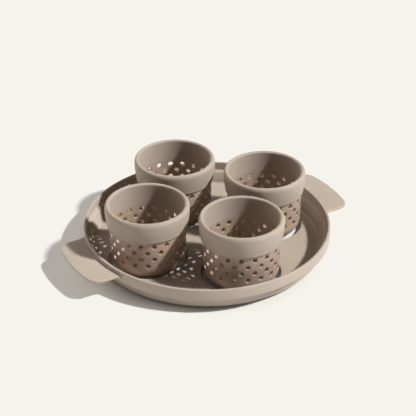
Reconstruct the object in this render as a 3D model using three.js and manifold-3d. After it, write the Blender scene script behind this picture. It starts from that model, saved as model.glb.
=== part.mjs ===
// Egg poacher: a round tray with two ears, and four perforated cups that stand through holes in its floor.
// Each cup is a hard perforated basket with a soft silicone collar round its top.
// Millimetres, +Z up. The origin is on the table under the tray's centre, with the ears along X.

import * as THREE from "three";
import { mergeGeometries, mergeVertices } from "three/addons/utils/BufferGeometryUtils.js";
import Module from "manifold-3d";

const wasm = await Module();
wasm.setup();

// Basket: its radius drives the holes, the collars and, through them, the whole tray
const BASKET_RADIUS = 40.7;
const BASKET_HEIGHT = 48.8;
const BASKET_TAPER = 0.6;
const BASKET_WALL = 2.4;
const BASE_THICKNESS = 2.2;
const BASE_ROUND = 16.5;

// Tongue on top of the basket's wall, buried in the collar
const TONGUE_HEIGHT = 8;
const TONGUE_THICKNESS = 1;
const TONGUE_INSET = 0.5;
const TONGUE_LEAN = 1.5;
const SEAM_GAP = 0.3;

// Perforations: staggered rows round the wall, and a ring round a centre hole in the base
const PERFORATION_DIAMETER = 5.2;
const PERFORATIONS_PER_ROW = 18;
const PERFORATION_TOP_DROP = 4.9;
const PERFORATION_ROW_PITCH = 7.75;
const PERFORATION_FOOT_MARGIN = 1;
const BASE_PERFORATIONS = 6;
const BASE_PERFORATION_CIRCLE = 15;

// Collar: wider than the hole in the tray, so that the cup hangs by it
const COLLAR_HEIGHT = 24.6;
const COLLAR_CATCH = 2.8;
const COLLAR_STEP = 0.5;
const COLLAR_TURN_INSET = 1.75;
const COLLAR_TURN_RISE = 3.6;
const LIP_WIDTH = 5.3;
const LIP_CREST_RUN = 2.5;
const LIP_INNER_DROP = 1.8;
const LIP_OUTER_DROP = 4.8;

// Tray floor and the four holes in it
const HOLE_CLEARANCE = 1.3;
const CUP_SPACING = 12.6;
const FLOOR_MARGIN = 5.2;
const FLOOR_THICKNESS = 3.3;

// Feet under the floor, one between each two holes
const FOOT_HEIGHT = 3.4;
const FOOT_RADIUS = 7;
const FOOT_MARGIN = 12;

// Tray wall: a lower wall, a shoulder that seats on a pan's rim, and an upright upper band
const TRAY_HEIGHT = 29.3;
const UPPER_BAND_HEIGHT = 12.2;
const UPPER_WALL = 3;
const RIM_ROUND = 0.9;
const SHOULDER_WIDTH = 3.5;
const SHOULDER_DROP = 0.9;
const SHOULDER_THICKNESS = 2.6;
const SEAT_WIDTH = 3.9;
const LOWER_WALL_LEAN = 4.5;
const FLOOR_FILLET = 3;
const WALL_FOOT_ROUND = 2.2;

// Ears: flat plates on the upper band
const EAR_REACH = 28.4;
const EAR_HALF_WIDTH = 42;
const EAR_ROOT_FLARE = 4;
const EAR_FLARE_LENGTH = 9;
const EAR_CORNER = 12;
const EAR_THICKNESS = 3;
const EAR_DROP = 4.1;

// Fineness of the round shapes: a basket's facets each hold whole perforations, two facets to a hole pitch
const FACETS_PER_PERFORATION = 2;
const CUP_SEGMENTS = FACETS_PER_PERFORATION * PERFORATIONS_PER_ROW;
const TRAY_SEGMENTS = 72;
const HOLE_SEGMENTS = 48;
const PERFORATION_SEGMENTS = 6;
const FOOT_SEGMENTS = 24;
const MICRON = 0.001;
const ROUND_STEPS = 2;
const BASE_ROUND_STEPS = 3;
const LIP_STEPS = 3;
const EAR_CURVE_STEPS = 5;

// Each cup's place round the tray, and how far its pattern of perforations is turned
const CUPS = [
  { place: "right", angle: 0, turn: 2.7 },
  { place: "back", angle: 90, turn: 8.8 },
  { place: "left", angle: 180, turn: 12.2 },
  { place: "front", angle: 270, turn: -0.8 },
];

// Sizes that follow from the values above
const HOLE_RADIUS = BASKET_RADIUS + HOLE_CLEARANCE;
const COLLAR_RADIUS = HOLE_RADIUS + COLLAR_CATCH;
const MOUTH_RADIUS = COLLAR_RADIUS - LIP_WIDTH;
const CUP_HEIGHT = BASKET_HEIGHT + COLLAR_HEIGHT;
const BASE_INNER_ROUND = BASE_ROUND - BASKET_WALL;
const LOWEST_PERFORATION = BASE_ROUND + PERFORATION_FOOT_MARGIN + PERFORATION_DIAMETER / 2;
const PERFORATION_SPAN = BASKET_HEIGHT - PERFORATION_TOP_DROP - LOWEST_PERFORATION;
const PERFORATION_ROWS = 1 + Math.floor(PERFORATION_SPAN / PERFORATION_ROW_PITCH);
const CUP_CIRCLE_RADIUS = (2 * COLLAR_RADIUS + CUP_SPACING) / Math.SQRT2;
const FLOOR_RADIUS = CUP_CIRCLE_RADIUS + HOLE_RADIUS + FLOOR_MARGIN;
const FLOOR_TOP = FOOT_HEIGHT + FLOOR_THICKNESS;
const FOOT_CIRCLE_RADIUS = FLOOR_RADIUS - FOOT_MARGIN - FOOT_RADIUS;
const LOWER_WALL_RADIUS = FLOOR_RADIUS + FLOOR_FILLET + LOWER_WALL_LEAN;
const RIM_INNER_RADIUS = LOWER_WALL_RADIUS + SHOULDER_WIDTH;
const RIM_RADIUS = RIM_INNER_RADIUS + UPPER_WALL;
const SEAT_HEIGHT = TRAY_HEIGHT - UPPER_BAND_HEIGHT;
const EAR_TIP_RADIUS = RIM_RADIUS + EAR_REACH;
const EAR_BOTTOM = TRAY_HEIGHT - EAR_DROP - EAR_THICKNESS;

// Materials: one plastic for the tray, a grainier one for the baskets, silicone for the collars
const trayPlastic = new THREE.MeshStandardMaterial({ color: 0xb9a593, roughness: 0.5, metalness: 0 });
const basketPlastic = new THREE.MeshStandardMaterial({ color: 0xab9683, roughness: 0.6, metalness: 0 });
const silicone = new THREE.MeshStandardMaterial({ color: 0xaf9f8e, roughness: 0.75, metalness: 0 });

const point = (radius, height) => new THREE.Vector2(radius, height);

// Points of an elliptic quarter or other arc about a centre, both ends included
function arcPoints(centreRadius, centreHeight, run, rise, fromDegrees, toDegrees, steps) {
  const points = [];
  for (let i = 0; i <= steps; i += 1) {
    const angle = THREE.MathUtils.degToRad(fromDegrees + ((toDegrees - fromDegrees) * i) / steps);
    points.push(point(centreRadius + run * Math.cos(angle), centreHeight + rise * Math.sin(angle)));
  }
  return points;
}

// Points of a quadratic curve without its last point
function curvePoints(start, control, end, steps) {
  return new THREE.QuadraticBezierCurve(start, control, end).getPoints(steps).slice(0, -1);
}

// A profile of radius and height turned about Z; half a facet of turn puts a facet's middle on the X axis
function lathe(profile, segments) {
  const geometry = new THREE.LatheGeometry(profile, segments, Math.PI / segments);
  return geometry.rotateX(Math.PI / 2);
}

// A geometry's bare triangles, with every corner on a grid of microns so that shared corners match
function bareTriangles(geometry) {
  const bare = geometry.index ? geometry.toNonIndexed() : geometry.clone();
  bare.deleteAttribute("normal");
  bare.deleteAttribute("uv");
  const numbers = bare.attributes.position.array;
  for (let i = 0; i < numbers.length; i += 1) {
    numbers[i] = Math.round(numbers[i] / MICRON) * MICRON;
  }
  return bare;
}

// Several geometries that meet at their edges as one closed geometry
function sewn(geometries) {
  const geometry = mergeVertices(mergeGeometries(geometries.map(bareTriangles)), MICRON);
  geometry.computeVertexNormals();
  return geometry;
}

// A geometry as a closed solid: shared vertices merged, flat triangles on the axis left out
function toSolid(geometry) {
  const merged = mergeVertices(bareTriangles(geometry), MICRON);
  const index = merged.index.array;
  const kept = [];
  for (let i = 0; i < index.length; i += 3) {
    const [a, b, c] = [index[i], index[i + 1], index[i + 2]];
    if (a !== b && b !== c && c !== a) {
      kept.push(a, b, c);
    }
  }
  return new wasm.Manifold(new wasm.Mesh({
    numProp: 3,
    vertProperties: new Float32Array(merged.attributes.position.array),
    triVerts: new Uint32Array(kept),
  }));
}

// A solid back as a geometry for a mesh
function toGeometry(solid) {
  const mesh = solid.getMesh();
  const geometry = new THREE.BufferGeometry();
  geometry.setAttribute("position", new THREE.BufferAttribute(mesh.vertProperties, mesh.numProp));
  geometry.setIndex(new THREE.BufferAttribute(mesh.triVerts, 1));
  geometry.computeVertexNormals();
  return geometry;
}

// Radius of the basket's wall at a height: the taper runs over the whole wall
function wallRadius(height) {
  return BASKET_RADIUS - BASKET_TAPER * (1 - height / BASKET_HEIGHT);
}

// Corners of a perforation round its centre in a flat sheet, anticlockwise
function perforationCorners(centre) {
  const corners = [];
  for (let i = 0; i < PERFORATION_SEGMENTS; i += 1) {
    const angle = Math.PI / 2 + (2 * Math.PI * i) / PERFORATION_SEGMENTS;
    corners.push(point(
      centre.x + (PERFORATION_DIAMETER / 2) * Math.cos(angle),
      centre.y + (PERFORATION_DIAMETER / 2) * Math.sin(angle)));
  }
  return corners;
}

// One face of a pierced sheet: its outline and its perforations, each corner put in place by a rule
function piercedFace(outline, centres, place, facesBack) {
  const shape = new THREE.Shape(outline);
  shape.holes = centres.map((centre) => new THREE.Path(perforationCorners(centre)));
  const geometry = new THREE.ShapeGeometry(shape);
  const position = geometry.attributes.position;
  for (let i = 0; i < position.count; i += 1) {
    const corner = place(point(position.getX(i), position.getY(i)));
    position.setXYZ(i, corner.x, corner.y, corner.z);
  }
  if (facesBack) {
    geometry.setIndex(Array.from(geometry.index.array).reverse());
  }
  return geometry;
}

// The insides of a sheet's perforations, from its front face to its back face
function perforationWalls(centres, placeFront, placeBack) {
  const corners = [];
  for (const centre of centres) {
    const ring = perforationCorners(centre);
    for (let i = 0; i < ring.length; i += 1) {
      const next = ring[(i + 1) % ring.length];
      corners.push(placeFront(ring[i]), placeFront(next), placeBack(next));
      corners.push(placeFront(ring[i]), placeBack(next), placeBack(ring[i]));
    }
  }
  return new THREE.BufferGeometry().setFromPoints(corners);
}

// One flat facet of the basket's wall, outside face, inside face and perforations
function wallFacet(facet) {
  const halfTurn = Math.PI / CUP_SEGMENTS;
  const innerStart = BASE_THICKNESS + BASE_INNER_ROUND;
  const centres = [];
  for (let row = facet % FACETS_PER_PERFORATION; row < PERFORATION_ROWS; row += FACETS_PER_PERFORATION) {
    centres.push(point(0, BASKET_HEIGHT - PERFORATION_TOP_DROP - row * PERFORATION_ROW_PITCH));
  }
  const middle = (inset, height) => (wallRadius(height) - inset) * Math.cos(halfTurn);
  const placeAt = (inset) => (corner) => new THREE.Vector3(middle(inset, corner.y), corner.x, corner.y);
  const outline = (inset, low) => [
    point(-middle(inset, low) * Math.tan(halfTurn), low),
    point(middle(inset, low) * Math.tan(halfTurn), low),
    point(middle(inset, BASKET_HEIGHT) * Math.tan(halfTurn), BASKET_HEIGHT),
    point(-middle(inset, BASKET_HEIGHT) * Math.tan(halfTurn), BASKET_HEIGHT),
  ];
  const pieces = [
    piercedFace(outline(0, BASE_ROUND), centres, placeAt(0), false),
    piercedFace(outline(BASKET_WALL, innerStart), centres, placeAt(BASKET_WALL), true),
  ];
  if (centres.length > 0) {
    pieces.push(perforationWalls(centres, placeAt(0), placeAt(BASKET_WALL)));
  }
  return pieces.map((piece) => piece.rotateZ(2 * halfTurn * facet));
}

// The basket's flat base between the two rounds, with its perforations
function basketBase(lowerRadius, upperRadius) {
  const centres = [point(0, 0)];
  for (let i = 0; i < BASE_PERFORATIONS; i += 1) {
    const angle = (2 * Math.PI * i) / BASE_PERFORATIONS;
    centres.push(point(BASE_PERFORATION_CIRCLE * Math.cos(angle), BASE_PERFORATION_CIRCLE * Math.sin(angle)));
  }
  const rim = (radius) => Array.from({ length: CUP_SEGMENTS }, (_, i) => {
    const angle = ((2 * i + 1) * Math.PI) / CUP_SEGMENTS;
    return point(radius * Math.cos(angle), radius * Math.sin(angle));
  });
  const placeAt = (height) => (corner) => new THREE.Vector3(corner.x, corner.y, height);
  return [
    piercedFace(rim(upperRadius), centres, placeAt(BASE_THICKNESS), false),
    piercedFace(rim(lowerRadius), centres, placeAt(0), true),
    perforationWalls(centres, placeAt(BASE_THICKNESS), placeAt(0)),
  ];
}

// The basket: base, rounds, facets of the wall, and the tongue that the collar grips
function basketGeometry() {
  const innerStart = BASE_THICKNESS + BASE_INNER_ROUND;
  const lowerRadius = wallRadius(BASE_ROUND) - BASE_ROUND;
  const upperRadius = wallRadius(innerStart) - BASKET_WALL - BASE_INNER_ROUND;
  const tongueOuter = BASKET_RADIUS - TONGUE_INSET;
  const tongueInner = tongueOuter - TONGUE_THICKNESS;
  const tongueTop = BASKET_HEIGHT + TONGUE_HEIGHT;
  const top = [
    point(BASKET_RADIUS, BASKET_HEIGHT),
    point(tongueOuter, BASKET_HEIGHT),
    point(tongueOuter + TONGUE_LEAN, tongueTop),
    point(tongueInner + TONGUE_LEAN, tongueTop),
    point(tongueInner, BASKET_HEIGHT),
    point(BASKET_RADIUS - BASKET_WALL, BASKET_HEIGHT),
  ];
  const outerRound = arcPoints(lowerRadius, BASE_ROUND, BASE_ROUND, BASE_ROUND, -90, 0, BASE_ROUND_STEPS);
  const innerRound = arcPoints(upperRadius, innerStart, BASE_INNER_ROUND, BASE_INNER_ROUND,
    0, -90, BASE_ROUND_STEPS);
  const pieces = [outerRound, top, innerRound].map((profile) => lathe(profile, CUP_SEGMENTS));
  pieces.push(...basketBase(lowerRadius, upperRadius));
  for (let facet = 0; facet < CUP_SEGMENTS; facet += 1) {
    pieces.push(...wallFacet(facet));
  }
  return sewn(pieces);
}

// The collar's section, closed on itself: outside up, over the lip, down the inside, round the groove
function collarProfile() {
  const bottom = BASKET_HEIGHT + SEAM_GAP;
  const edgeRadius = BASKET_RADIUS + COLLAR_STEP;
  const turnRadius = COLLAR_RADIUS - COLLAR_TURN_INSET;
  const turnHeight = bottom + COLLAR_TURN_RISE;
  const bellyHeight = CUP_HEIGHT - LIP_OUTER_DROP;
  const crestRadius = MOUTH_RADIUS + LIP_CREST_RUN;
  const mouthHeight = CUP_HEIGHT - LIP_INNER_DROP;
  const grooveOuter = BASKET_RADIUS - TONGUE_INSET + SEAM_GAP;
  const grooveInner = BASKET_RADIUS - TONGUE_INSET - TONGUE_THICKNESS - SEAM_GAP;
  const grooveTop = BASKET_HEIGHT + TONGUE_HEIGHT + SEAM_GAP;
  const start = point(edgeRadius, bottom);
  return [
    ...curvePoints(start, point(turnRadius, bottom), point(turnRadius, turnHeight), ROUND_STEPS),
    ...curvePoints(point(turnRadius, turnHeight), point(COLLAR_RADIUS, (turnHeight + bellyHeight) / 2),
      point(COLLAR_RADIUS, bellyHeight), ROUND_STEPS),
    ...arcPoints(crestRadius, bellyHeight, COLLAR_RADIUS - crestRadius, LIP_OUTER_DROP, 0, 90, LIP_STEPS),
    ...arcPoints(crestRadius, mouthHeight, LIP_CREST_RUN, LIP_INNER_DROP, 90, 180, ROUND_STEPS).slice(1),
    point(BASKET_RADIUS - BASKET_WALL, bottom),
    point(grooveInner, bottom),
    point(grooveInner + TONGUE_LEAN, grooveTop),
    point(grooveOuter + TONGUE_LEAN, grooveTop),
    point(grooveOuter, bottom),
    start.clone(),
  ];
}

// The tray's section: underside, lower wall, seat, upper band, rim, shoulder, floor
function trayProfile() {
  const lowerOuter = RIM_RADIUS - SEAT_WIDTH;
  const underRadius = lowerOuter - LOWER_WALL_LEAN - WALL_FOOT_ROUND;
  const shoulderTop = SEAT_HEIGHT + SHOULDER_THICKNESS;
  return [
    point(0, FOOT_HEIGHT),
    ...arcPoints(underRadius, FOOT_HEIGHT + WALL_FOOT_ROUND, WALL_FOOT_ROUND, WALL_FOOT_ROUND,
      -90, 0, ROUND_STEPS),
    point(lowerOuter, SEAT_HEIGHT),
    point(RIM_RADIUS, SEAT_HEIGHT),
    ...arcPoints(RIM_RADIUS - RIM_ROUND, TRAY_HEIGHT - RIM_ROUND, RIM_ROUND, RIM_ROUND, 0, 90, 1),
    ...arcPoints(RIM_INNER_RADIUS + RIM_ROUND, TRAY_HEIGHT - RIM_ROUND, RIM_ROUND, RIM_ROUND, 90, 180, 1),
    point(RIM_INNER_RADIUS, shoulderTop),
    point(LOWER_WALL_RADIUS, shoulderTop - SHOULDER_DROP),
    ...arcPoints(FLOOR_RADIUS, FLOOR_TOP + FLOOR_FILLET, FLOOR_FILLET, FLOOR_FILLET, 0, -90, ROUND_STEPS),
    point(0, FLOOR_TOP),
  ];
}

// Outline of the right-hand ear from inside the rim's wall to an outer edge that runs parallel to the rim
function earShape() {
  const rootRadius = RIM_RADIUS - UPPER_WALL / 2;
  const rootHalf = EAR_HALF_WIDTH + EAR_ROOT_FLARE;
  const rootAngle = Math.asin(rootHalf / rootRadius);
  const flareEnd = RIM_RADIUS * Math.cos(Math.asin(rootHalf / RIM_RADIUS)) + EAR_FLARE_LENGTH;
  const cornerX = Math.sqrt(EAR_TIP_RADIUS ** 2 - EAR_HALF_WIDTH ** 2);
  const tipAngle = Math.asin(EAR_HALF_WIDTH / EAR_TIP_RADIUS) - EAR_CORNER / EAR_TIP_RADIUS;
  const rootX = rootRadius * Math.cos(rootAngle);
  const shape = new THREE.Shape();
  shape.moveTo(rootX, -rootHalf);
  shape.quadraticCurveTo(flareEnd - EAR_FLARE_LENGTH / 2, -EAR_HALF_WIDTH, flareEnd, -EAR_HALF_WIDTH);
  shape.lineTo(cornerX - EAR_CORNER, -EAR_HALF_WIDTH);
  shape.quadraticCurveTo(cornerX, -EAR_HALF_WIDTH,
    EAR_TIP_RADIUS * Math.cos(tipAngle), -EAR_TIP_RADIUS * Math.sin(tipAngle));
  shape.absarc(0, 0, EAR_TIP_RADIUS, -tipAngle, tipAngle, false);
  shape.quadraticCurveTo(cornerX, EAR_HALF_WIDTH, cornerX - EAR_CORNER, EAR_HALF_WIDTH);
  shape.lineTo(flareEnd, EAR_HALF_WIDTH);
  shape.quadraticCurveTo(flareEnd - EAR_FLARE_LENGTH / 2, EAR_HALF_WIDTH, rootX, rootHalf);
  shape.absarc(0, 0, rootRadius, rootAngle, -rootAngle, true);
  return shape;
}

function earGeometry(turn) {
  const ear = new THREE.ExtrudeGeometry(earShape(), {
    depth: EAR_THICKNESS, bevelEnabled: false, curveSegments: EAR_CURVE_STEPS });
  ear.translate(0, 0, EAR_BOTTOM);
  return ear.rotateZ(turn);
}

// An upright cylinder between two heights, out from the tray's axis in a direction given in degrees
function upright(radius, low, high, segments, reach, degrees) {
  const cylinder = new THREE.CylinderGeometry(radius, radius, high - low, segments);
  cylinder.rotateX(Math.PI / 2);
  cylinder.translate(reach, 0, (low + high) / 2);
  return cylinder.rotateZ(THREE.MathUtils.degToRad(degrees));
}

// The tray: turned wall and floor, two ears, feet sunk half into the floor, and holes cut past both its faces
function trayGeometry() {
  const halfFloor = FLOOR_THICKNESS / 2;
  const halfSpacing = 180 / CUPS.length;
  let tray = toSolid(lathe(trayProfile(), TRAY_SEGMENTS));
  for (const turn of [0, Math.PI]) {
    tray = tray.add(toSolid(earGeometry(turn)));
  }
  for (const cup of CUPS) {
    const foot = upright(FOOT_RADIUS, 0, FOOT_HEIGHT + halfFloor, FOOT_SEGMENTS,
      FOOT_CIRCLE_RADIUS, cup.angle + halfSpacing);
    const hole = upright(HOLE_RADIUS, FOOT_HEIGHT - halfFloor, FLOOR_TOP + halfFloor, HOLE_SEGMENTS,
      CUP_CIRCLE_RADIUS, cup.angle);
    tray = tray.add(toSolid(foot)).subtract(toSolid(hole));
  }
  return toGeometry(tray);
}

function namedMesh(name, geometry, material) {
  const mesh = new THREE.Mesh(geometry, material.clone());
  mesh.name = name;
  return mesh;
}

const poacher = new THREE.Group();
poacher.name = "egg_poacher";
poacher.add(namedMesh("tray", trayGeometry(), trayPlastic));

for (const cup of CUPS) {
  const group = new THREE.Group();
  const angle = THREE.MathUtils.degToRad(cup.angle);
  group.position.set(CUP_CIRCLE_RADIUS * Math.cos(angle), CUP_CIRCLE_RADIUS * Math.sin(angle), 0);
  group.rotation.z = THREE.MathUtils.degToRad(cup.turn);
  const collar = toGeometry(toSolid(lathe(collarProfile(), CUP_SEGMENTS)));
  group.add(namedMesh(`basket_${cup.place}`, basketGeometry(), basketPlastic));
  group.add(namedMesh(`collar_${cup.place}`, collar, silicone));
  poacher.add(group);
}

export default poacher;
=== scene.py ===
"""Egg poacher on a pale studio floor: a plastic tray, four perforated baskets and four silicone collars."""

import math

import bmesh
import bpy
from mathutils import Matrix, Vector
from mathutils.geometry import delaunay_2d_cdt


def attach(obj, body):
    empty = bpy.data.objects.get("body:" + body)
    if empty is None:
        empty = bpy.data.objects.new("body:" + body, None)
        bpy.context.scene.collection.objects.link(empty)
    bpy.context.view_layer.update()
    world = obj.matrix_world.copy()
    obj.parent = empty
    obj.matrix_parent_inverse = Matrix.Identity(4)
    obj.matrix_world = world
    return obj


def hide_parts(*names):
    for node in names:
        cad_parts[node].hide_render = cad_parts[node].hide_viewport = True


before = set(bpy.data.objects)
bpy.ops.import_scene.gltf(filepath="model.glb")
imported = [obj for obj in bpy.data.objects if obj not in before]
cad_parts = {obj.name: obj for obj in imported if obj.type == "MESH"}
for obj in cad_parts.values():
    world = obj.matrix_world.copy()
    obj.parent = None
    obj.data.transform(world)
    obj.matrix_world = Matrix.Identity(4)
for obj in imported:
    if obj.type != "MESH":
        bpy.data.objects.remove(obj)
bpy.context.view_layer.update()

# Lengths below are in millimetres, as in the solids, and become metres when a mesh is made
MM = 0.001

# Basket
BASKET_RADIUS = 40.7
BASKET_HEIGHT = 48.8
BASKET_TAPER = 0.6
BASKET_WALL = 2.4
BASE_THICKNESS = 2.2
BASE_ROUND = 16.5
BASE_INNER_ROUND = 14.1
TONGUE_HEIGHT = 8.0
TONGUE_THICKNESS = 1.0
TONGUE_INSET = 0.5
TONGUE_LEAN = 1.5
SEAM_GAP = 0.05

# Perforations
PERFORATION_RADIUS = 2.6
PERFORATION_EDGE = 0.4
PERFORATION_COLLAR = 0.7
PERFORATIONS_PER_ROW = 18
PERFORATION_ROWS = 4
PERFORATION_TOP_DROP = 4.9
PERFORATION_ROW_PITCH = 7.75
BASE_PERFORATIONS = 6
BASE_PERFORATION_CIRCLE = 15.0

# Collar
COLLAR_RADIUS = 44.8
COLLAR_HEIGHT = 24.6
COLLAR_STEP = 0.5
COLLAR_TURN_INSET = 1.75
COLLAR_TURN_RISE = 3.6
COLLAR_EDGE = 0.1
LIP_WIDTH = 5.3
LIP_CREST_RUN = 2.5
LIP_INNER_DROP = 1.8
LIP_OUTER_DROP = 4.8

# Tray; its upper band is 0.13 mm thinner than the solid's, to keep a true circle inside the faceted one
CUP_CIRCLE_RADIUS = 72.266
HOLE_RADIUS = 42.0
HOLE_EDGE = 0.9
FLOOR_RADIUS = 119.466
FLOOR_THICKNESS = 3.3
FLOOR_FILLET = 3.0
LOWER_WALL_LEAN = 4.5
SHOULDER_WIDTH = 3.5
SHOULDER_DROP = 0.9
SHOULDER_THICKNESS = 2.6
UPPER_WALL = 2.87
UPPER_BAND_HEIGHT = 12.2
SEAT_WIDTH = 3.77
TRAY_HEIGHT = 29.3
RIM_ROUND = 0.9
SEAT_EDGE = 0.5
SHOULDER_EDGE = 1.2
WALL_FOOT_ROUND = 2.2

# Feet under the floor, between the holes
FOOT_HEIGHT = 3.4
FOOT_RADIUS = 7.0
FOOT_CIRCLE_RADIUS = 100.466
FOOT_EDGE = 0.8
FOOT_COLUMNS = 48

# Ears
EAR_REACH = 28.53
EAR_HALF_WIDTH = 42.0
EAR_ROOT_FLARE = 4.0
EAR_FLARE_LENGTH = 9.0
EAR_CORNER = 12.0
EAR_THICKNESS = 3.0
EAR_DROP = 4.1
EAR_EDGE = 0.7

# Fineness of the meshes
CELL_COLUMNS = 8
CELL_ROWS = 6
CUP_COLUMNS = CELL_COLUMNS * PERFORATIONS_PER_ROW
TRAY_COLUMNS = 288
HOLE_COLUMNS = 144
BASE_HOLE_COLUMNS = 24
CURVE_STEPS = 12
EDGE_STEPS = 4
EAR_STEPS = 48
WELD_DISTANCE = 0.002
SHARP_ANGLE = 40.0

# Flat sheets: the triangulation keeps what lies inside the outline and merges points within a tolerance
KEEP_INSIDE = 1
SHEET_TOLERANCE = 1e-5

# Each cup's place, its angle round the tray and the turn of its perforations, in degrees
CUPS = (
    ("right", 0.0, 2.7),
    ("back", 90.0, 8.8),
    ("left", 180.0, 12.2),
    ("front", 270.0, -0.8),
)
HALF_SPACING = 45.0

# Camera of the photograph: the focal length in pixels of its frame, angles in degrees, place in millimetres
FRAME_PIXELS = 416
FOCAL_PIXELS = 1415.5
SENSOR_MM = 36.0
CAMERA_AZIMUTH = -29.76
CAMERA_PITCH = 31.08
CAMERA_PLACE = (-647.5, -1134.4, 833.2)

# Materials: a dark and a light tone, roughness, grain scale, grain depth in metres, share of fine spots
TRAY_LOOK = ((0.363, 0.299, 0.239), (0.418, 0.345, 0.276), 0.48, 900.0, 0.00005, 0.35)
BASKET_LOOK = ((0.316, 0.23, 0.173), (0.404, 0.294, 0.222), 0.42, 1100.0, 0.00012, 0.6)
SILICONE_LOOK = ((0.346, 0.282, 0.222), (0.382, 0.313, 0.247), 0.66, 1500.0, 0.00004, 0.4)
SILICONE_SHEEN = 0.08
SILICONE_SPECULAR = 0.35
CLOUD_SCALE = 38.0
CLOUD_DETAIL = 5.0
GRAIN_DETAIL = 3.0
DARK_TONE_PLACE = 0.3
LIGHT_TONE_PLACE = 0.7
GLOSS_CHANGE = 0.06
RELIEF_STRENGTH = 0.35

# Light: a key from the right of the frame, a broad fill from its left and soft light from above.
# Each light has an azimuth, a height and a spread in degrees, a strength and a colour.
LIGHTS = (
    ("key", -41.0, 45.5, 4.5, 5.15, (0.98, 1.0, 1.03)),
    ("fill", 115.0, 12.0, 90.0, 2.1, (1.0, 0.93, 0.86)),
    ("top", 0.0, 90.0, 110.0, 0.3, (1.0, 0.92, 0.85)),
)

# Room: dim overhead and pale at the horizon. It changes between two heights, sines of the angle above level
ROOM_COLOUR = (1.0, 1.0, 1.0, 1.0)
ROOM_STRENGTH = 0.02
HORIZON_STRENGTH = 1.0
HORIZON_LOW = 0.07
HORIZON_HIGH = 0.13

# Floor: its size in metres, and a faint glow of painted light that lifts the floor's shadows. The glow
# starts under the tray's wall, so the floor under and beside the tray is painted shade. Radii in millimetres
FLOOR_SIZE = 30.0
FLOOR_COLOUR = (0.64, 0.635, 0.615, 1.0)
FLOOR_PAINTED_LIGHT = 0.22
PAINTED_LIGHT_START = 114.0
PAINTED_LIGHT_END = 150.0

# Tone: unchanged up to a knee, and the brightest floor ends in a pale warm white
TONE_KNEE = 0.7
FLOOR_WHITE = (0.922, 0.896, 0.839)


class Surface:
    """Points in millimetres and faces, gathered part by part and welded into one mesh at the end."""

    def __init__(self):
        self.points = []
        self.faces = []
        self.smooth = []

    def add(self, points, faces, smooth=True):
        first = len(self.points)
        self.points.extend(points)
        self.faces.extend([tuple(first + i for i in face) for face in faces])
        self.smooth.extend([smooth] * len(faces))

    def add_rings(self, rings, closed=False):
        """Quads between rings of equally many points; a closed set joins its last ring to its first."""
        count = len(rings[0])
        points = [p for ring in rings for p in ring]
        faces = []
        pairs = len(rings) if closed else len(rings) - 1
        for k in range(pairs):
            low = k * count
            high = ((k + 1) % len(rings)) * count
            for i in range(count):
                j = (i + 1) % count
                faces.append((low + i, low + j, high + j, high + i))
        self.add(points, faces)

    def to_object(self, name, material):
        mesh = bpy.data.meshes.new(name)
        mesh.from_pydata([Vector(p) * MM for p in self.points], [], self.faces)
        mesh.polygons.foreach_set("use_smooth", self.smooth)
        work = bmesh.new()
        work.from_mesh(mesh)
        bmesh.ops.remove_doubles(work, verts=work.verts, dist=WELD_DISTANCE * MM)
        bmesh.ops.recalc_face_normals(work, faces=work.faces)
        work.to_mesh(mesh)
        work.free()
        mesh.set_sharp_from_angle(angle=math.radians(SHARP_ANGLE))
        mesh.materials.append(material)
        made = bpy.data.objects.new(name, mesh)
        bpy.context.scene.collection.objects.link(made)
        return made


def polar(radius, degrees, height, centre=(0.0, 0.0)):
    angle = math.radians(degrees)
    return (centre[0] + radius * math.cos(angle), centre[1] + radius * math.sin(angle), height)


def ring(radius, height, columns, turn=0.0, centre=(0.0, 0.0)):
    return [polar(radius, turn + 360.0 * i / columns, height, centre) for i in range(columns)]


def lathe(surface, profile, columns, turn=0.0, centre=(0.0, 0.0), closed=False):
    surface.add_rings([ring(r, z, columns, turn, centre) for r, z in profile], closed)


def arc(centre, run, rise, start, end, steps):
    """Points of an elliptic arc in radius and height, both ends included."""
    points = []
    for i in range(steps + 1):
        angle = math.radians(start + (end - start) * i / steps)
        points.append((centre[0] + run * math.cos(angle), centre[1] + rise * math.sin(angle)))
    return points


def curve(start, control, end, steps):
    """Points of a quadratic curve, both ends included."""
    points = []
    for i in range(steps + 1):
        t = i / steps
        weights = ((1 - t) ** 2, 2 * t * (1 - t), t * t)
        points.append(tuple(sum(w * p[k] for w, p in zip(weights, (start, control, end))) for k in (0, 1)))
    return points


def towards(start, end, distance):
    """The point at a distance from start on the way to end, at most halfway."""
    run = math.dist(start, end)
    share = min(distance / run, 0.5)
    return tuple(a + (b - a) * share for a, b in zip(start, end))


def rounded(corners):
    """A line through corners given as (radius, height, rounding), each corner eased over its rounding."""
    points = []
    for i, (radius, height, ease) in enumerate(corners):
        here = (radius, height)
        if ease == 0:
            points.append(here)
            continue
        before = towards(here, corners[i - 1][:2], ease)
        after = towards(here, corners[i + 1][:2], ease)
        points.extend(curve(before, here, after, EDGE_STEPS))
    return points


def flat_sheet(surface, outline, holes, height):
    """A level sheet with an outline and holes, each a loop of points. A face all on one hole is left out."""
    points = []
    edges = []
    loops = []
    for number, loop in enumerate([outline] + holes):
        first = len(points)
        points.extend(Vector((p[0], p[1])) for p in loop)
        edges.extend((first + i, first + (i + 1) % len(loop)) for i in range(len(loop)))
        loops.extend([number] * len(loop))
    corners, _, faces, origins, *_ = delaunay_2d_cdt(points, edges, [], KEEP_INSIDE, SHEET_TOLERANCE)
    kept = []
    for face in faces:
        touched = {loops[k] for i in face for k in origins[i][:1]}
        if len(touched) != 1 or 0 in touched:
            kept.append(tuple(face))
    surface.add([(p.x, p.y, height) for p in corners], kept, smooth=False)


def hole_profile(radius, edge, top, bottom):
    """The wall of a round hole through a sheet, from its top face to its bottom face, both edges eased."""
    upper = arc((radius + edge, top - edge), edge, edge, 90, 180, EDGE_STEPS)
    lower = arc((radius + edge, bottom + edge), edge, edge, 180, 270, EDGE_STEPS)
    return upper + lower


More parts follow.
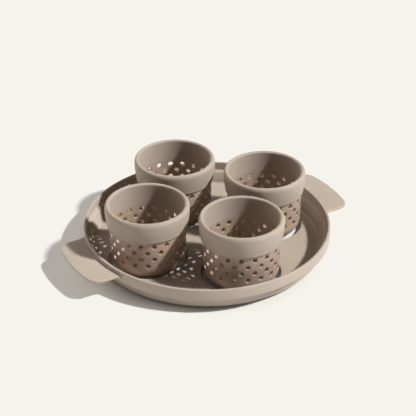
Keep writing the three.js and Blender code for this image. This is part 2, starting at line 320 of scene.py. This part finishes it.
def wall_radius(height):
    return BASKET_RADIUS - BASKET_TAPER * (1 - height / BASKET_HEIGHT)


def pierced_cell(surface, degrees, height):
    """One cell of the basket's wall: outside face, the round hole through it, inside face."""
    half_turn = 180.0 / PERFORATIONS_PER_ROW
    half_height = PERFORATION_ROW_PITCH / 2
    border = []
    for i in range(CELL_COLUMNS):
        border.append((-half_turn + 2 * half_turn * i / CELL_COLUMNS, -half_height))
    for i in range(CELL_ROWS):
        border.append((half_turn, -half_height + PERFORATION_ROW_PITCH * i / CELL_ROWS))
    for i in range(CELL_COLUMNS):
        border.append((half_turn - 2 * half_turn * i / CELL_COLUMNS, half_height))
    for i in range(CELL_ROWS):
        border.append((-half_turn, half_height - PERFORATION_ROW_PITCH * i / CELL_ROWS))
    aims = [math.atan2(dz, BASKET_RADIUS * math.radians(da)) for da, dz in border]

    def border_ring(depth):
        return [polar(wall_radius(height + dz) - depth, degrees + da, height + dz) for da, dz in border]

    def hole_ring(radius, depth):
        points = []
        for aim in aims:
            side = radius * math.cos(aim)
            level = height + radius * math.sin(aim)
            away = wall_radius(level) - depth
            points.append(polar(away, degrees + math.degrees(math.asin(side / away)), level))
        return points

    rings = [border_ring(0.0), hole_ring(PERFORATION_RADIUS + PERFORATION_COLLAR, 0.0)]
    for radius, level in hole_profile(PERFORATION_RADIUS, PERFORATION_EDGE, 0.0, -BASKET_WALL):
        rings.append(hole_ring(radius, -level))
    rings.append(hole_ring(PERFORATION_RADIUS + PERFORATION_COLLAR, BASKET_WALL))
    rings.append(border_ring(BASKET_WALL))
    surface.add_rings(rings)


def make_basket(name, turn, material):
    """A basket about its own axis: pierced wall, tongue, rounds and pierced base."""
    surface = Surface()
    pitch = 360.0 / PERFORATIONS_PER_ROW
    for row in range(PERFORATION_ROWS):
        height = BASKET_HEIGHT - PERFORATION_TOP_DROP - row * PERFORATION_ROW_PITCH
        stagger = (row % 2) * pitch / 2
        for i in range(PERFORATIONS_PER_ROW):
            pierced_cell(surface, turn + stagger + i * pitch, height)
    top_band = BASKET_HEIGHT - PERFORATION_TOP_DROP + PERFORATION_ROW_PITCH / 2
    low_band = top_band - PERFORATION_ROWS * PERFORATION_ROW_PITCH
    tongue = BASKET_RADIUS - TONGUE_INSET
    tongue_top = BASKET_HEIGHT + TONGUE_HEIGHT
    lathe(surface, [
        (wall_radius(top_band), top_band),
        (BASKET_RADIUS, BASKET_HEIGHT),
        (tongue, BASKET_HEIGHT),
        (tongue + TONGUE_LEAN, tongue_top),
        (tongue - TONGUE_THICKNESS + TONGUE_LEAN, tongue_top),
        (tongue - TONGUE_THICKNESS, BASKET_HEIGHT),
        (BASKET_RADIUS - BASKET_WALL, BASKET_HEIGHT),
        (wall_radius(top_band) - BASKET_WALL, top_band),
    ], CUP_COLUMNS, turn)
    inner_start = BASE_THICKNESS + BASE_INNER_ROUND
    lower = wall_radius(BASE_ROUND) - BASE_ROUND
    upper = wall_radius(inner_start) - BASKET_WALL - BASE_INNER_ROUND
    outer_round = arc((lower, BASE_ROUND), BASE_ROUND, BASE_ROUND, 0, -90, CURVE_STEPS)
    inner_round = arc((upper, inner_start), BASE_INNER_ROUND, BASE_INNER_ROUND, 0, -90, CURVE_STEPS)
    lathe(surface, [(wall_radius(low_band), low_band)] + outer_round, CUP_COLUMNS, turn)
    lathe(surface, [(wall_radius(low_band) - BASKET_WALL, low_band)] + inner_round, CUP_COLUMNS, turn)
    centres = [(0.0, 0.0)]
    for i in range(BASE_PERFORATIONS):
        centres.append(polar(BASE_PERFORATION_CIRCLE, turn + 360.0 * i / BASE_PERFORATIONS, 0.0)[:2])
    flat_edge = PERFORATION_RADIUS + PERFORATION_EDGE
    holes = [ring(flat_edge, 0.0, BASE_HOLE_COLUMNS, turn, centre) for centre in centres]
    flat_sheet(surface, ring(upper, 0.0, CUP_COLUMNS, turn), holes, BASE_THICKNESS)
    flat_sheet(surface, ring(lower, 0.0, CUP_COLUMNS, turn), holes, 0.0)
    for centre in centres:
        walls = hole_profile(PERFORATION_RADIUS, PERFORATION_EDGE, BASE_THICKNESS, 0.0)
        lathe(surface, walls, BASE_HOLE_COLUMNS, turn, centre)
    return surface.to_object(name, material)


def make_collar(name, material):
    """A collar about its own axis: underside turn, belly, lip, inside and the groove for the tongue."""
    surface = Surface()
    bottom = BASKET_HEIGHT + SEAM_GAP
    top = BASKET_HEIGHT + COLLAR_HEIGHT
    edge = BASKET_RADIUS + COLLAR_STEP
    turn_radius = COLLAR_RADIUS - COLLAR_TURN_INSET
    turn_height = bottom + COLLAR_TURN_RISE
    belly = top - LIP_OUTER_DROP
    mouth = COLLAR_RADIUS - LIP_WIDTH
    crest = mouth + LIP_CREST_RUN
    groove_outer = BASKET_RADIUS - TONGUE_INSET + SEAM_GAP
    groove_inner = BASKET_RADIUS - TONGUE_INSET - TONGUE_THICKNESS - SEAM_GAP
    groove_top = BASKET_HEIGHT + TONGUE_HEIGHT + SEAM_GAP
    inside = BASKET_RADIUS - BASKET_WALL
    profile = []
    profile += curve((edge, bottom), (turn_radius, bottom), (turn_radius, turn_height), CURVE_STEPS)[:-1]
    profile += curve((turn_radius, turn_height), (COLLAR_RADIUS, (turn_height + belly) / 2),
                     (COLLAR_RADIUS, belly), CURVE_STEPS)[:-1]
    profile += arc((crest, belly), COLLAR_RADIUS - crest, LIP_OUTER_DROP, 0, 90, CURVE_STEPS)[:-1]
    profile += arc((crest, top - LIP_INNER_DROP), LIP_CREST_RUN, LIP_INNER_DROP, 90, 180, CURVE_STEPS)
    profile += rounded([
        (mouth, top - LIP_INNER_DROP, 0),
        (inside, bottom, COLLAR_EDGE),
        (groove_inner, bottom, 0),
        (groove_inner + TONGUE_LEAN, groove_top, 0),
        (groove_outer + TONGUE_LEAN, groove_top, 0),
        (groove_outer, bottom, 0),
    ])[1:]
    lathe(surface, profile, CUP_COLUMNS, closed=True)
    return surface.to_object(name, material)


def ear_outline():
    """The right-hand ear's free outline, anticlockwise from the wall, and its root along that wall."""
    rim = FLOOR_RADIUS + FLOOR_FILLET + LOWER_WALL_LEAN + SHOULDER_WIDTH + UPPER_WALL
    tip = rim + EAR_REACH
    root = rim - UPPER_WALL / 2
    root_half = EAR_HALF_WIDTH + EAR_ROOT_FLARE
    root_x = math.sqrt(root ** 2 - root_half ** 2)
    flare_end = math.sqrt(rim ** 2 - root_half ** 2) + EAR_FLARE_LENGTH
    corner_x = math.sqrt(tip ** 2 - EAR_HALF_WIDTH ** 2)
    tip_angle = math.asin(EAR_HALF_WIDTH / tip) - EAR_CORNER / tip
    flare = curve((root_x, -root_half), (flare_end - EAR_FLARE_LENGTH / 2, -EAR_HALF_WIDTH),
                  (flare_end, -EAR_HALF_WIDTH), CURVE_STEPS)
    corner = curve((corner_x - EAR_CORNER, -EAR_HALF_WIDTH), (corner_x, -EAR_HALF_WIDTH),
                   (tip * math.cos(tip_angle), -tip * math.sin(tip_angle)), CURVE_STEPS)
    lower = flare + corner
    edge = arc((0.0, 0.0), tip, tip, -math.degrees(tip_angle), math.degrees(tip_angle), EAR_STEPS)
    upper = [(x, -y) for x, y in reversed(lower)]
    root_angle = math.degrees(math.asin(root_half / root))
    back = arc((0.0, 0.0), root, root, root_angle, -root_angle, EAR_STEPS)
    return lower + edge[1:-1] + upper, back[1:-1]


def inset(outline, distance):
    """The outline moved inwards by a distance, point by point; its two ends, inside the wall, stay."""
    moved = [outline[0]]
    for before, (x, y), after in zip(outline, outline[1:], outline[2:]):
        along = Vector((after[0] - before[0], after[1] - before[1])).normalized()
        moved.append((x - along.y * distance, y + along.x * distance))
    return moved + [outline[-1]]


def add_ear(surface, sign):
    """One ear with eased edges, let into the wall: the right-hand one for 1, the left-hand one for -1."""
    outline, back = ear_outline()
    bottom = TRAY_HEIGHT - EAR_DROP - EAR_THICKNESS
    top = TRAY_HEIGHT - EAR_DROP
    lower = arc((EAR_EDGE, bottom + EAR_EDGE), EAR_EDGE, EAR_EDGE, 270, 180, EDGE_STEPS)
    upper = arc((EAR_EDGE, top - EAR_EDGE), EAR_EDGE, EAR_EDGE, 180, 90, EDGE_STEPS)
    rings = []
    for distance, height in lower + upper:
        rings.append([(sign * x, sign * y, height) for x, y in inset(outline, distance) + back])
    surface.add_rings(rings)
    flat_sheet(surface, rings[0], [], bottom)
    flat_sheet(surface, rings[-1], [], top)


def make_tray(name, material):
    """The tray: turned wall, floor with four eased holes, four feet, and two ears let into the wall."""
    surface = Surface()
    fillet = FLOOR_RADIUS + FLOOR_FILLET
    lower_wall = fillet + LOWER_WALL_LEAN
    rim_inner = lower_wall + SHOULDER_WIDTH
    rim = rim_inner + UPPER_WALL
    seat = TRAY_HEIGHT - UPPER_BAND_HEIGHT
    shoulder = seat + SHOULDER_THICKNESS
    lower_outer = rim - SEAT_WIDTH
    wall_foot = lower_outer - LOWER_WALL_LEAN
    under_edge = wall_foot - WALL_FOOT_ROUND
    floor_top = FOOT_HEIGHT + FLOOR_THICKNESS
    profile = arc((under_edge, FOOT_HEIGHT + WALL_FOOT_ROUND), WALL_FOOT_ROUND, WALL_FOOT_ROUND,
                  -90, 0, CURVE_STEPS)[:-1]
    profile += rounded([
        (wall_foot, FOOT_HEIGHT + WALL_FOOT_ROUND, 0),
        (lower_outer, seat, SEAT_EDGE),
        (rim, seat, SEAT_EDGE),
        (rim, TRAY_HEIGHT, RIM_ROUND),
        (rim_inner, TRAY_HEIGHT, RIM_ROUND),
        (rim_inner, shoulder, SHOULDER_EDGE),
        (lower_wall, shoulder - SHOULDER_DROP, SHOULDER_EDGE),
        (fillet, floor_top + FLOOR_FILLET, 0),
    ])
    profile += arc((FLOOR_RADIUS, floor_top + FLOOR_FILLET), FLOOR_FILLET, FLOOR_FILLET,
                   0, -90, CURVE_STEPS)[1:]
    lathe(surface, profile, TRAY_COLUMNS)
    flat_edge = HOLE_RADIUS + HOLE_EDGE
    holes = []
    for _, angle, _ in CUPS:
        centre = polar(CUP_CIRCLE_RADIUS, angle, 0.0)[:2]
        holes.append(ring(flat_edge, 0.0, HOLE_COLUMNS, 0.0, centre))
        walls = hole_profile(HOLE_RADIUS, HOLE_EDGE, floor_top, FOOT_HEIGHT)
        lathe(surface, walls, HOLE_COLUMNS, 0.0, centre)
    flat_sheet(surface, ring(FLOOR_RADIUS, 0.0, TRAY_COLUMNS), holes, floor_top)
    feet = []
    for _, angle, _ in CUPS:
        centre = polar(FOOT_CIRCLE_RADIUS, angle + HALF_SPACING, 0.0)[:2]
        feet.append(ring(FOOT_RADIUS, 0.0, FOOT_COLUMNS, 0.0, centre))
        sole = FOOT_RADIUS - FOOT_EDGE
        foot_edge = arc((sole, FOOT_EDGE), FOOT_EDGE, FOOT_EDGE, 0, -90, EDGE_STEPS)
        lathe(surface, [(FOOT_RADIUS, FOOT_HEIGHT)] + foot_edge, FOOT_COLUMNS, 0.0, centre)
        flat_sheet(surface, ring(sole, 0.0, FOOT_COLUMNS, 0.0, centre), [], 0.0)
    flat_sheet(surface, ring(under_edge, 0.0, TRAY_COLUMNS), holes + feet, FOOT_HEIGHT)
    for sign in (1, -1):
        add_ear(surface, sign)
    return surface.to_object(name, material)


def moulded(name, dark, light, roughness, grain, depth, spots):
    """A moulded material: two close tones in soft clouds, fine spots, uneven gloss and a fine grain."""
    material = bpy.data.materials.new(name)
    material.use_nodes = True
    nodes = material.node_tree.nodes
    links = material.node_tree.links
    shader = nodes["Principled BSDF"]
    place = nodes.new("ShaderNodeTexCoord")

    cloud = nodes.new("ShaderNodeTexNoise")
    cloud.inputs["Scale"].default_value = CLOUD_SCALE
    cloud.inputs["Detail"].default_value = CLOUD_DETAIL
    links.new(place.outputs["Object"], cloud.inputs["Vector"])

    speck = nodes.new("ShaderNodeTexNoise")
    speck.inputs["Scale"].default_value = grain
    speck.inputs["Detail"].default_value = GRAIN_DETAIL
    links.new(place.outputs["Object"], speck.inputs["Vector"])

    mixed = nodes.new("ShaderNodeMix")
    mixed.data_type = "FLOAT"
    mixed.inputs[0].default_value = spots
    links.new(cloud.outputs["Fac"], mixed.inputs[2])
    links.new(speck.outputs["Fac"], mixed.inputs[3])

    tones = nodes.new("ShaderNodeValToRGB")
    tones.color_ramp.elements[0].position = DARK_TONE_PLACE
    tones.color_ramp.elements[0].color = (*dark, 1.0)
    tones.color_ramp.elements[1].position = LIGHT_TONE_PLACE
    tones.color_ramp.elements[1].color = (*light, 1.0)
    links.new(mixed.outputs[0], tones.inputs["Fac"])
    links.new(tones.outputs["Color"], shader.inputs["Base Color"])

    gloss = nodes.new("ShaderNodeMapRange")
    gloss.inputs["To Min"].default_value = roughness - GLOSS_CHANGE
    gloss.inputs["To Max"].default_value = roughness + GLOSS_CHANGE
    links.new(speck.outputs["Fac"], gloss.inputs["Value"])
    links.new(gloss.outputs["Result"], shader.inputs["Roughness"])

    relief = nodes.new("ShaderNodeBump")
    relief.inputs["Strength"].default_value = RELIEF_STRENGTH
    relief.inputs["Distance"].default_value = depth
    links.new(speck.outputs["Fac"], relief.inputs["Height"])
    links.new(relief.outputs["Normal"], shader.inputs["Normal"])
    return material


# Materials
tray_plastic = moulded("tray_plastic", *TRAY_LOOK)
basket_plastic = moulded("basket_plastic", *BASKET_LOOK)
silicone = moulded("silicone", *SILICONE_LOOK)
soft_shader = silicone.node_tree.nodes["Principled BSDF"]
soft_shader.inputs["Sheen Weight"].default_value = SILICONE_SHEEN
soft_shader.inputs["Specular IOR Level"].default_value = SILICONE_SPECULAR

# Tray and cups
tray = make_tray("tray_moulding", tray_plastic)
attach(tray, "tray")
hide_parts("tray")

for place_name, cup_angle, cup_turn in CUPS:
    spot = Vector(polar(CUP_CIRCLE_RADIUS, cup_angle, 0.0)) * MM
    basket = make_basket(f"pierced_basket_{place_name}", cup_turn, basket_plastic)
    collar = make_collar(f"soft_collar_{place_name}", silicone)
    for piece, node, slot_name in (
        (basket, f"basket_{place_name}", "basket_plastic"),
        (collar, f"collar_{place_name}", "silicone"),
    ):
        piece.data.transform(Matrix.Translation(spot))
        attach(piece, f"cup_{place_name}")
        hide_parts(node)

# Floor
half_floor = FLOOR_SIZE / 2
floor_corners = (
    (-half_floor, -half_floor, 0.0),
    (half_floor, -half_floor, 0.0),
    (half_floor, half_floor, 0.0),
    (-half_floor, half_floor, 0.0),
)
floor_mesh = bpy.data.meshes.new("floor")
floor_mesh.from_pydata(floor_corners, [], [(0, 1, 2, 3)])
floor = bpy.data.objects.new("floor", floor_mesh)
bpy.context.scene.collection.objects.link(floor)
floor_paint = bpy.data.materials.new("floor_paint")
floor_paint.use_nodes = True
floor_nodes = floor_paint.node_tree.nodes
floor_links = floor_paint.node_tree.links
floor_shader = floor_nodes["Principled BSDF"]
floor_shader.inputs["Base Color"].default_value = FLOOR_COLOUR
floor_shader.inputs["Roughness"].default_value = 1.0
floor_shader.inputs["Specular IOR Level"].default_value = 0.0
# Painted light: the floor glows in a pale white, which lifts its shadows
floor_shader.inputs["Emission Color"].default_value = (*FLOOR_WHITE, 1.0)
floor_place = floor_nodes.new("ShaderNodeTexCoord")
floor_reach = floor_nodes.new("ShaderNodeVectorMath")
floor_reach.operation = "LENGTH"
floor_links.new(floor_place.outputs["Object"], floor_reach.inputs[0])
# The glow is nothing under the tray and rises outward from its wall: painted shade under and near the tray,
# painted light beyond
floor_painted_light = floor_nodes.new("ShaderNodeMapRange")
floor_painted_light.interpolation_type = "SMOOTHSTEP"
floor_painted_light.inputs["From Min"].default_value = PAINTED_LIGHT_START * MM
floor_painted_light.inputs["From Max"].default_value = PAINTED_LIGHT_END * MM
floor_painted_light.inputs["To Max"].default_value = FLOOR_PAINTED_LIGHT
floor_links.new(floor_reach.outputs["Value"], floor_painted_light.inputs["Value"])
floor_links.new(floor_painted_light.outputs["Result"], floor_shader.inputs["Emission Strength"])
floor_mesh.materials.append(floor_paint)

# Light
for light_name, light_azimuth, light_height, spread, strength, colour in LIGHTS:
    light_data = bpy.data.lights.new(light_name, "SUN")
    light_data.energy = strength
    light_data.color = colour
    light_data.angle = math.radians(spread)
    light = bpy.data.objects.new(light_name, light_data)
    bpy.context.scene.collection.objects.link(light)
    rise = math.radians(light_height)
    to_light = Vector(polar(math.cos(rise), light_azimuth, math.sin(rise)))
    light.rotation_euler = to_light.to_track_quat("Z", "Y").to_euler()

# Room
room = bpy.data.worlds.new("room")
room.use_nodes = True
room_nodes = room.node_tree.nodes
room_links = room.node_tree.links
background = room_nodes["Background"]
background.inputs["Color"].default_value = ROOM_COLOUR
room_place = room_nodes.new("ShaderNodeTexCoord")
room_axes = room_nodes.new("ShaderNodeSeparateXYZ")
room_links.new(room_place.outputs["Generated"], room_axes.inputs["Vector"])
horizon = room_nodes.new("ShaderNodeMapRange")
horizon.interpolation_type = "SMOOTHSTEP"
horizon.inputs["From Min"].default_value = HORIZON_LOW
horizon.inputs["From Max"].default_value = HORIZON_HIGH
horizon.inputs["To Min"].default_value = HORIZON_STRENGTH
horizon.inputs["To Max"].default_value = ROOM_STRENGTH
room_links.new(room_axes.outputs["Z"], horizon.inputs["Value"])
room_links.new(horizon.outputs["Result"], background.inputs["Strength"])
bpy.context.scene.world = room

# Tone
tone = bpy.context.scene.view_settings
tone.view_transform = "Standard"
tone.use_curve_mapping = True
tone.curve_mapping.extend = "HORIZONTAL"
for channel, white in zip(tone.curve_mapping.curves, FLOOR_WHITE):
    channel.points[-1].location = (1.0, white)
    channel.points.new(TONE_KNEE, TONE_KNEE)
    for point in channel.points:
        point.handle_type = "VECTOR"
tone.curve_mapping.update()

# Camera
azimuth = math.radians(CAMERA_AZIMUTH)
pitch = math.radians(CAMERA_PITCH)
right = Vector((math.cos(azimuth), math.sin(azimuth), 0.0))
level = Vector((-math.sin(azimuth), math.cos(azimuth), 0.0))
forward = level * math.cos(pitch) - Vector((0.0, 0.0, math.sin(pitch)))
upward = level * math.sin(pitch) + Vector((0.0, 0.0, math.cos(pitch)))
camera_data = bpy.data.cameras.new("camera")
camera_data.sensor_fit = "HORIZONTAL"
camera_data.sensor_width = SENSOR_MM
camera_data.lens = FOCAL_PIXELS / FRAME_PIXELS * SENSOR_MM
camera = bpy.data.objects.new("camera", camera_data)
bpy.context.scene.collection.objects.link(camera)
axes = Matrix((right, upward, -forward)).transposed().to_4x4()
camera.matrix_world = Matrix.Translation(Vector(CAMERA_PLACE) * MM) @ axes
bpy.context.scene.camera = camera
